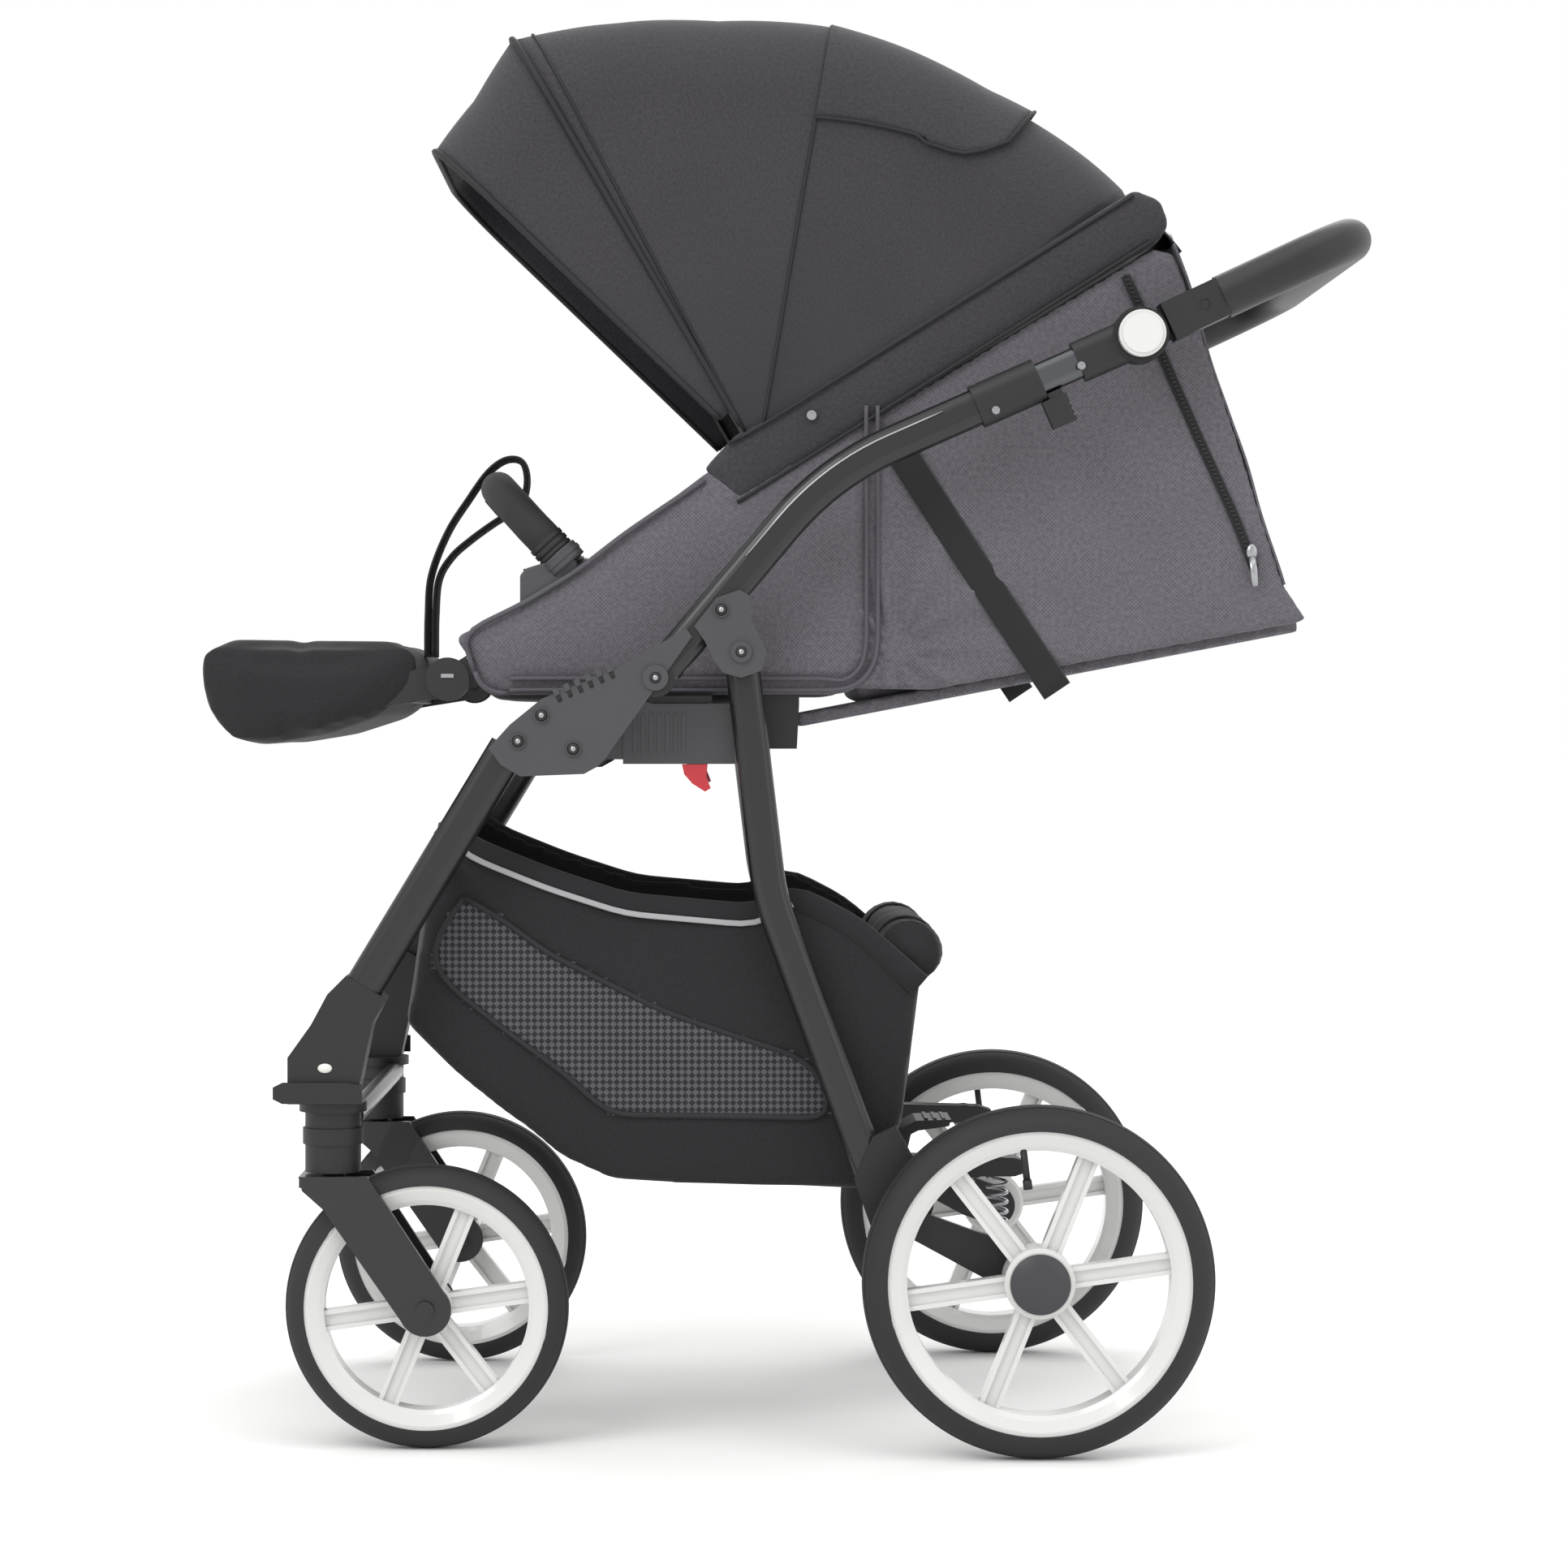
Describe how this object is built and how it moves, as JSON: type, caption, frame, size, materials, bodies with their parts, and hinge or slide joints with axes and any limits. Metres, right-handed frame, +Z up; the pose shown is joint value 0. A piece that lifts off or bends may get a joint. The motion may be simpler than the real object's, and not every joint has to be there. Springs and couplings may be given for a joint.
{
  "type": "folding pushchair",
  "caption": "Four-wheeled folding pushchair: large spoked rear wheels, swivelling front wheels, reclining removable seat, hooded canopy, tilting U handle and underseat basket.",
  "frame": {"origin": "middle of the footprint box, on the ground", "axes": "+Z up, +X to the rear (handle), -X to the front (footrest), -Y the side named left"},
  "size_m": [1.028, 0.6168, 1.2515],
  "materials": {
    "black_tube": "satin black powder coat",
    "black_plastic": "fine grained black",
    "grey_plastic": "fine grained mid grey",
    "steel": "plain steel",
    "silver_tube": "anodised silver",
    "tyre": "soft black foam rubber",
    "white_plastic": "glossy white",
    "cap_grey": "dark grey",
    "grip": "stitched black leatherette",
    "red_plastic": "red",
    "black_fabric": "woven, near black",
    "grey_fabric": "woven melange grey",
    "canopy_fabric": "woven charcoal"
  },
  "bodies": {
    "front_frame": {"front_legs": "black_tube", "leg_knuckles": "black_plastic", "swivel_housings": "black_tube", "front_crossbar": "black_tube", "hinge_plates": "grey_plastic", "hinge_pins": "steel", "seat_adapters": "grey_plastic", "basket": "black_fabric"},
    "handle_frame": {"upper_tubes": "black_tube", "leg_brackets": "grey_plastic", "bracket_pins": "steel", "collars": "black_plastic", "inner_tubes": "silver_tube", "handle_sockets": "black_plastic"},
    "rear_frame": {"rear_legs": "black_tube", "rear_housings": "black_plastic", "rear_crossbar": "black_tube", "spring_left": "steel", "spring_right": "steel"},
    "brake": {"brake_pedal": "black_plastic"},
    "handle": {"handle_arms": "black_plastic", "handle_grip": "grip"},
    "seat": {"seat_hoop": "black_tube", "seat_brackets": "grey_plastic", "seat_base": "black_fabric", "seat_side_panels": "grey_fabric", "rear_panels": "grey_fabric", "canopy_rear_bow": "black_tube", "canopy_fabric": "canopy_fabric", "canopy_band": "canopy_fabric"},
    "backrest": {"backrest_board": "black_plastic", "backrest_pad": "grey_fabric"},
    "footrest": {"footrest_frame": "grey_plastic", "footrest_pad": "black_fabric"},
    "bumper": {"bumper_bar": "grip"},
    "front_bow": {"canopy_front_bow": "black_tube", "canopy_visor": "canopy_fabric"},
    "mid_bow": {"canopy_mid_bow": "black_tube"},
    "arm_left": {"suspension_arm_left": "black_plastic"},
    "rear_wheel_left": {"rear_tyre_left": "tyre", "rear_rim_left": "white_plastic", "rear_cap_left": "cap_grey"},
    "fork_left": {"fork_left": "black_tube"},
    "front_wheel_left": {"front_tyre_left": "tyre", "front_rim_left": "white_plastic"},
    "swivel_lock_left": {"swivel_lock_left": "black_plastic"},
    "handle_button_left": {"handle_button_left": "white_plastic"},
    "fold_trigger_left": {"fold_trigger_left": "black_plastic"},
    "seat_release_left": {"seat_release_left": "red_plastic"},
    "arm_right": {"suspension_arm_right": "black_plastic"},
    "rear_wheel_right": {"rear_tyre_right": "tyre", "rear_rim_right": "white_plastic", "rear_cap_right": "cap_grey"},
    "fork_right": {"fork_right": "black_tube"},
    "front_wheel_right": {"front_tyre_right": "tyre", "front_rim_right": "white_plastic"},
    "swivel_lock_right": {"swivel_lock_right": "black_plastic"},
    "handle_button_right": {"handle_button_right": "white_plastic"},
    "fold_trigger_right": {"fold_trigger_right": "black_plastic"},
    "seat_release_right": {"seat_release_right": "red_plastic"}
  },
  "joints": [
    {"name": "fold_hinge", "type": "hinge", "parent": "front_frame", "child": "handle_frame", "pos_m": [-0.108, 0, 0.662], "axis": [0, -1, 0], "range_deg": [0, 115], "deforming": ["basket"]},
    {"name": "rear_leg_hinge", "type": "hinge", "parent": "handle_frame", "child": "rear_frame", "pos_m": [-0.035, 0, 0.684], "axis": [0, -1, 0], "range_deg": [-132.25, 0]},
    {"name": "handle_tilt", "type": "hinge", "parent": "handle_frame", "child": "handle", "pos_m": [0.306, 0, 0.955], "axis": [0, -1, 0], "range_deg": [-60, 40]},
    {"name": "brake_tilt", "type": "hinge", "parent": "rear_frame", "child": "brake", "pos_m": [0.096, 0, 0.215], "axis": [0, 1, 0], "range_deg": [0, 20]},
    {"name": "seat_lift", "type": "slide", "parent": "front_frame", "child": "seat", "axis": [0, 0, 1], "range_m": [0, 0.12]},
    {"name": "recline", "type": "hinge", "parent": "seat", "child": "backrest", "pos_m": [0, 0, 0.617], "axis": [0, -1, 0], "range_deg": [0, 45], "deforming": ["rear_panels"]},
    {"name": "footrest_tilt", "type": "hinge", "parent": "seat", "child": "footrest", "pos_m": [-0.29, 0, 0.6615], "axis": [0, -1, 0], "range_deg": [0, 55]},
    {"name": "bumper_swing", "type": "hinge", "parent": "seat", "child": "bumper", "pos_m": [-0.201, 0.186, 0.76], "axis": [0, 0, -1], "range_deg": [0, 80]},
    {"name": "canopy_fold", "type": "hinge", "parent": "seat", "child": "front_bow", "pos_m": [-0.02, 0, 0.856], "axis": [0, 1, 0], "range_deg": [0, 65], "deforming": ["canopy_fabric"]},
    {"name": "mid_bow_fold", "type": "hinge", "parent": "seat", "child": "mid_bow", "pos_m": [-0.02, 0, 0.856], "axis": [0, 1, 0], "range_deg": [0, 37.1]},
    {"name": "suspension_left", "type": "hinge", "parent": "rear_frame", "child": "arm_left", "pos_m": [0.11, -0.24, 0.195], "axis": [0, -1, 0], "range_deg": [0, 8], "stiffness_Nm_per_rad": 14, "springref_deg": -22.92, "deforming": ["spring_left"]},
    {"name": "rear_spin_left", "type": "hinge", "parent": "arm_left", "child": "rear_wheel_left", "pos_m": [0.217, -0.28, 0.15], "axis": [0, 1, 0], "continuous": true},
    {"name": "swivel_left", "type": "hinge", "parent": "front_frame", "child": "fork_left", "pos_m": [-0.386, -0.23, 0.26], "axis": [0, 0, 1], "continuous": true},
    {"name": "front_spin_left", "type": "hinge", "parent": "fork_left", "child": "front_wheel_left", "pos_m": [-0.305, -0.23, 0.122], "axis": [0, 1, 0], "continuous": true},
    {"name": "lock_slide_left", "type": "slide", "parent": "front_frame", "child": "swivel_lock_left", "axis": [1, 0, 0], "range_m": [0, 0.008]},
    {"name": "button_press_left", "type": "slide", "parent": "handle_frame", "child": "handle_button_left", "axis": [0, 1, 0], "range_m": [0, 0.004], "stiffness_N_per_m": 800},
    {"name": "trigger_pull_left", "type": "slide", "parent": "handle_frame", "child": "fold_trigger_left", "axis": [0.9154, 0, 0.4026], "range_m": [0, 0.012], "stiffness_N_per_m": 300},
    {"name": "release_pull_left", "type": "slide", "parent": "front_frame", "child": "seat_release_left", "axis": [0, 0, -1], "range_m": [0, 0.006], "stiffness_N_per_m": 1500, "springref_m": -0.0005},
    {"name": "suspension_right", "type": "hinge", "parent": "rear_frame", "child": "arm_right", "pos_m": [0.11, 0.24, 0.195], "axis": [0, -1, 0], "range_deg": [0, 8], "stiffness_Nm_per_rad": 14, "springref_deg": -22.92, "deforming": ["spring_right"]},
    {"name": "rear_spin_right", "type": "hinge", "parent": "arm_right", "child": "rear_wheel_right", "pos_m": [0.217, 0.28, 0.15], "axis": [0, 1, 0], "continuous": true},
    {"name": "swivel_right", "type": "hinge", "parent": "front_frame", "child": "fork_right", "pos_m": [-0.386, 0.23, 0.26], "axis": [0, 0, 1], "continuous": true},
    {"name": "front_spin_right", "type": "hinge", "parent": "fork_right", "child": "front_wheel_right", "pos_m": [-0.305, 0.23, 0.122], "axis": [0, 1, 0], "continuous": true},
    {"name": "lock_slide_right", "type": "slide", "parent": "front_frame", "child": "swivel_lock_right", "axis": [1, 0, 0], "range_m": [0, 0.008]},
    {"name": "button_press_right", "type": "slide", "parent": "handle_frame", "child": "handle_button_right", "axis": [0, -1, 0], "range_m": [0, 0.004], "stiffness_N_per_m": 800},
    {"name": "trigger_pull_right", "type": "slide", "parent": "handle_frame", "child": "fold_trigger_right", "axis": [0.9154, 0, 0.4026], "range_m": [0, 0.012], "stiffness_N_per_m": 300},
    {"name": "release_pull_right", "type": "slide", "parent": "front_frame", "child": "seat_release_right", "axis": [0, 0, -1], "range_m": [0, 0.006], "stiffness_N_per_m": 1500, "springref_m": -0.0005}
  ],
  "couplings": [
    {"joint": "rear_leg_hinge", "follows": "fold_hinge", "ratio": -1.15},
    {"joint": "mid_bow_fold", "follows": "canopy_fold", "ratio": 0.57}
  ]
}
